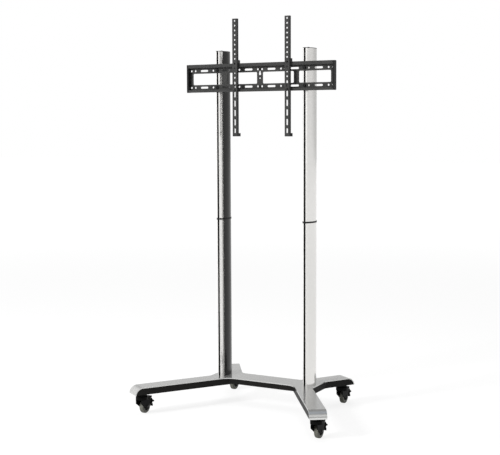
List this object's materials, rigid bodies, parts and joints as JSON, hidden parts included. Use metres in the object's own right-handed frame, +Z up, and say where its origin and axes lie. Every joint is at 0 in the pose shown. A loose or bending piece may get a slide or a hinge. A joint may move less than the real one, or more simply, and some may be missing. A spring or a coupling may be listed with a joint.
{
  "type": "mobile tv stand",
  "caption": "Wheeled stand for a large flat television: castored base, two oval columns in jointed lengths, height-adjustable mounting rail and two sliding screen arms.",
  "frame": {"origin": "middle of the footprint on the floor, under the bounding box", "axes": "+Z up, the screen side faces -Y, +X to the right seen from the front"},
  "size_m": [0.9356, 0.6826, 1.6885],
  "materials": {
    "silver_sheet": "satin silver paint on sheet steel",
    "black_sheet": "fine textured black powder coat",
    "column_silver": "satin anodised extrusion",
    "cover_black": "smooth black extruded plastic",
    "moulded_black": "fine grained black moulding",
    "charcoal_steel": "satin charcoal powder coat",
    "black_screws": "black oxide",
    "zinc": "zinc plated steel",
    "fork_steel": "black paint on pressed steel",
    "wheel_grey": "grey soft tread",
    "hub_grey": "dark grey nylon"
  },
  "bodies": {
    "stand": {"base_deck": "silver_sheet", "side_channel_left": "black_sheet", "side_channel_right": "black_sheet", "cross_channel": "black_sheet", "caster_sockets": "zinc", "caster_stems": "fork_steel", "column_foot_bolts": "zinc", "spigot_screws": "zinc", "column_lower_left": "column_silver", "cable_cover_lower_left": "cover_black", "column_upper_left": "column_silver", "cable_cover_upper_left": "cover_black", "joint_ring_left": "moulded_black", "column_spigot_left": "zinc", "column_cap_left": "moulded_black", "column_lower_right": "column_silver", "cable_cover_lower_right": "cover_black", "column_upper_right": "column_silver", "cable_cover_upper_right": "cover_black", "joint_ring_right": "moulded_black", "column_spigot_right": "zinc", "column_cap_right": "moulded_black"},
    "rail": {"tv_rail": "charcoal_steel", "rail_end_cap_left": "moulded_black", "rail_end_cap_right": "moulded_black", "rail_bolts": "black_screws", "rail_t_nuts": "zinc", "rail_plugs": "moulded_black"},
    "arm_left": {"tv_arm_left": "charcoal_steel", "arm_foot_left": "moulded_black", "arm_lock_screw_left": "black_screws"},
    "arm_right": {"tv_arm_right": "charcoal_steel", "arm_foot_right": "moulded_black", "arm_lock_screw_right": "black_screws"},
    "caster_front_left": {"caster_front_left_fork": "fork_steel", "caster_front_left_axle": "zinc", "caster_front_left_brake_pin": "zinc"},
    "wheel_front_left": {"caster_front_left_tyre": "wheel_grey", "caster_front_left_wheel_hub": "hub_grey"},
    "pedal_front_left": {"caster_front_left_brake_pedal": "moulded_black"},
    "caster_front_right": {"caster_front_right_fork": "fork_steel", "caster_front_right_axle": "zinc", "caster_front_right_brake_pin": "zinc"},
    "wheel_front_right": {"caster_front_right_tyre": "wheel_grey", "caster_front_right_wheel_hub": "hub_grey"},
    "pedal_front_right": {"caster_front_right_brake_pedal": "moulded_black"},
    "caster_back_left": {"caster_back_left_fork": "fork_steel", "caster_back_left_axle": "zinc", "caster_back_left_brake_pin": "zinc"},
    "wheel_back_left": {"caster_back_left_tyre": "wheel_grey", "caster_back_left_wheel_hub": "hub_grey"},
    "pedal_back_left": {"caster_back_left_brake_pedal": "moulded_black"},
    "caster_back_right": {"caster_back_right_fork": "fork_steel", "caster_back_right_axle": "zinc", "caster_back_right_brake_pin": "zinc"},
    "wheel_back_right": {"caster_back_right_tyre": "wheel_grey", "caster_back_right_wheel_hub": "hub_grey"},
    "pedal_back_right": {"caster_back_right_brake_pedal": "moulded_black"}
  },
  "joints": [
    {"name": "rail_height", "type": "slide", "parent": "stand", "child": "rail", "axis": [0, 0, 1], "range_m": [-0.54, 0.06]},
    {"name": "left_arm_slide", "type": "slide", "parent": "rail", "child": "arm_left", "axis": [1, 0, 0], "range_m": [-0.228, 0.09]},
    {"name": "right_arm_slide", "type": "slide", "parent": "rail", "child": "arm_right", "axis": [1, 0, 0], "range_m": [-0.13, 0.188]},
    {"name": "front_left_swivel", "type": "hinge", "parent": "stand", "child": "caster_front_left", "pos_m": [-0.41397, -0.28566, 0.085], "axis": [0, 0, 1], "continuous": true},
    {"name": "front_left_roll", "type": "hinge", "parent": "caster_front_left", "child": "wheel_front_left", "pos_m": [-0.41397, -0.26366, 0.03], "axis": [1, 0, 0], "continuous": true},
    {"name": "front_left_brake", "type": "hinge", "parent": "caster_front_left", "child": "pedal_front_left", "pos_m": [-0.41397, -0.24566, 0.062], "axis": [-1, 0, 0], "range_deg": [0, 7]},
    {"name": "front_right_swivel", "type": "hinge", "parent": "stand", "child": "caster_front_right", "pos_m": [0.41397, -0.28566, 0.085], "axis": [0, 0, 1], "continuous": true},
    {"name": "front_right_roll", "type": "hinge", "parent": "caster_front_right", "child": "wheel_front_right", "pos_m": [0.41397, -0.26366, 0.03], "axis": [1, 0, 0], "continuous": true},
    {"name": "front_right_brake", "type": "hinge", "parent": "caster_front_right", "child": "pedal_front_right", "pos_m": [0.41397, -0.24566, 0.062], "axis": [-1, 0, 0], "range_deg": [0, 7]},
    {"name": "back_left_swivel", "type": "hinge", "parent": "stand", "child": "caster_back_left", "pos_m": [-0.27991, 0.26634, 0.085], "axis": [0, 0, 1], "continuous": true},
    {"name": "back_left_roll", "type": "hinge", "parent": "caster_back_left", "child": "wheel_back_left", "pos_m": [-0.27991, 0.28834, 0.03], "axis": [1, 0, 0], "continuous": true},
    {"name": "back_left_brake", "type": "hinge", "parent": "caster_back_left", "child": "pedal_back_left", "pos_m": [-0.27991, 0.30634, 0.062], "axis": [-1, 0, 0], "range_deg": [0, 7]},
    {"name": "back_right_swivel", "type": "hinge", "parent": "stand", "child": "caster_back_right", "pos_m": [0.27991, 0.26634, 0.085], "axis": [0, 0, 1], "continuous": true},
    {"name": "back_right_roll", "type": "hinge", "parent": "caster_back_right", "child": "wheel_back_right", "pos_m": [0.27991, 0.28834, 0.03], "axis": [1, 0, 0], "continuous": true},
    {"name": "back_right_brake", "type": "hinge", "parent": "caster_back_right", "child": "pedal_back_right", "pos_m": [0.27991, 0.30634, 0.062], "axis": [-1, 0, 0], "range_deg": [0, 7]}
  ]
}
